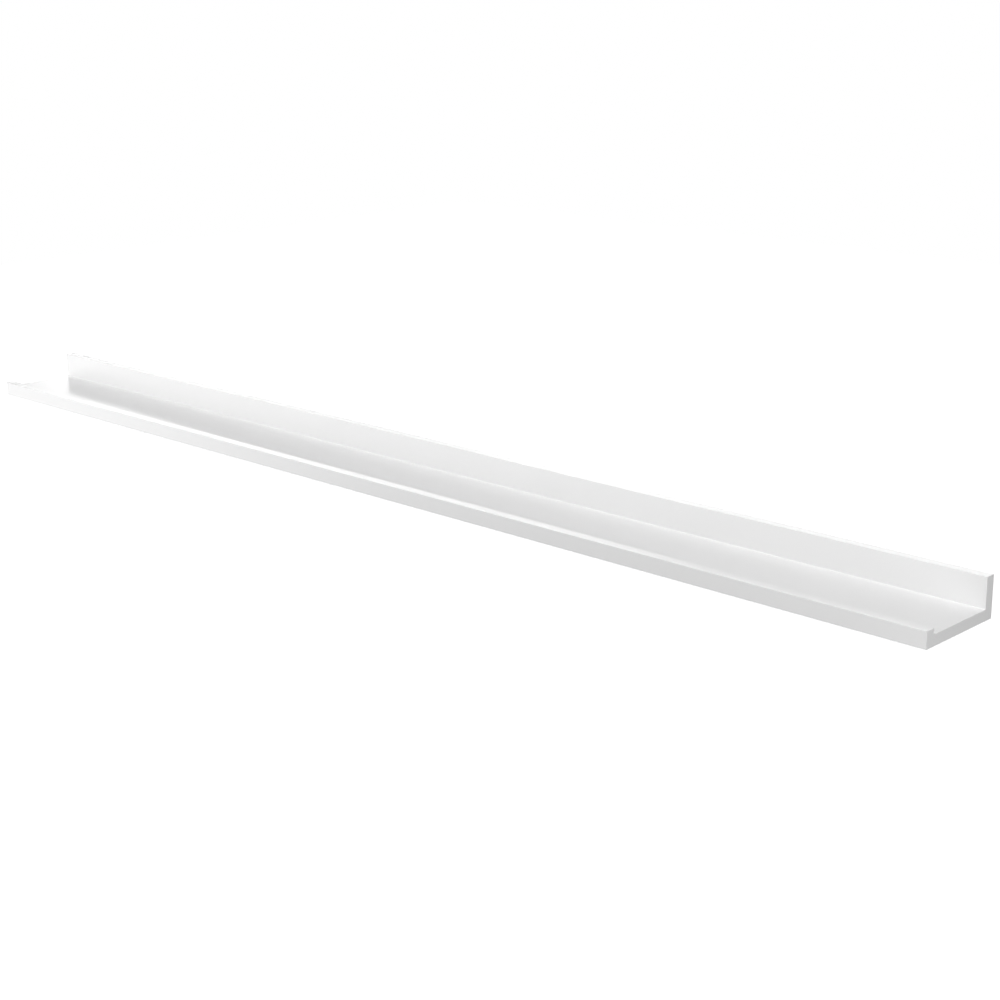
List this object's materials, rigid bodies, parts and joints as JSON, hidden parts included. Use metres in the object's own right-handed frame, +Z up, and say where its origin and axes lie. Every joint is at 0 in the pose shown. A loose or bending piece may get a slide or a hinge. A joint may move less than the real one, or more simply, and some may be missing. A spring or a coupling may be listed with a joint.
{
  "type": "floating wall shelf",
  "caption": "Long white wall-hung picture ledge: a tall back rail, a flat base board and a low front lip, hung on hidden keyhole plates in the rail's rear face.",
  "frame": {"origin": "middle of the back rail's rear face, which lies against the wall", "axes": "+X along the shelf to its right end seen from the room, +Y into the wall, +Z up"},
  "size_m": [1.524, 0.115, 0.0446],
  "materials": {
    "white_lacquer": "satin white lacquer on fibreboard",
    "white_laminate": "satin white edging laminate",
    "beech": "raw beech",
    "zinc_plated_steel": "bright zinc plate"
  },
  "bodies": {
    "root": {"back_rail": "white_lacquer", "base_board": "white_lacquer", "front_lip": "white_lacquer", "end_cap_left": "white_laminate", "end_cap_right": "white_laminate", "rail_dowel_1": "beech", "rail_dowel_2": "beech", "rail_dowel_3": "beech", "rail_dowel_4": "beech", "rail_dowel_5": "beech", "rail_dowel_6": "beech", "rail_dowel_7": "beech", "rail_dowel_8": "beech", "lip_dowel_1": "beech", "lip_dowel_2": "beech", "lip_dowel_3": "beech", "lip_dowel_4": "beech", "lip_dowel_5": "beech", "lip_dowel_6": "beech", "lip_dowel_7": "beech", "lip_dowel_8": "beech", "rail_screw_1": "zinc_plated_steel", "rail_screw_2": "zinc_plated_steel", "rail_screw_3": "zinc_plated_steel", "rail_screw_4": "zinc_plated_steel", "rail_screw_5": "zinc_plated_steel", "rail_screw_6": "zinc_plated_steel", "rail_screw_7": "zinc_plated_steel", "hanger_plate_1": "zinc_plated_steel", "hanger_plate_2": "zinc_plated_steel", "hanger_plate_3": "zinc_plated_steel", "hanger_plate_4": "zinc_plated_steel", "hanger_1_screw_left": "zinc_plated_steel", "hanger_1_screw_right": "zinc_plated_steel", "hanger_2_screw_left": "zinc_plated_steel", "hanger_2_screw_right": "zinc_plated_steel", "hanger_3_screw_left": "zinc_plated_steel", "hanger_3_screw_right": "zinc_plated_steel", "hanger_4_screw_left": "zinc_plated_steel", "hanger_4_screw_right": "zinc_plated_steel"}
  },
  "joints": []
}
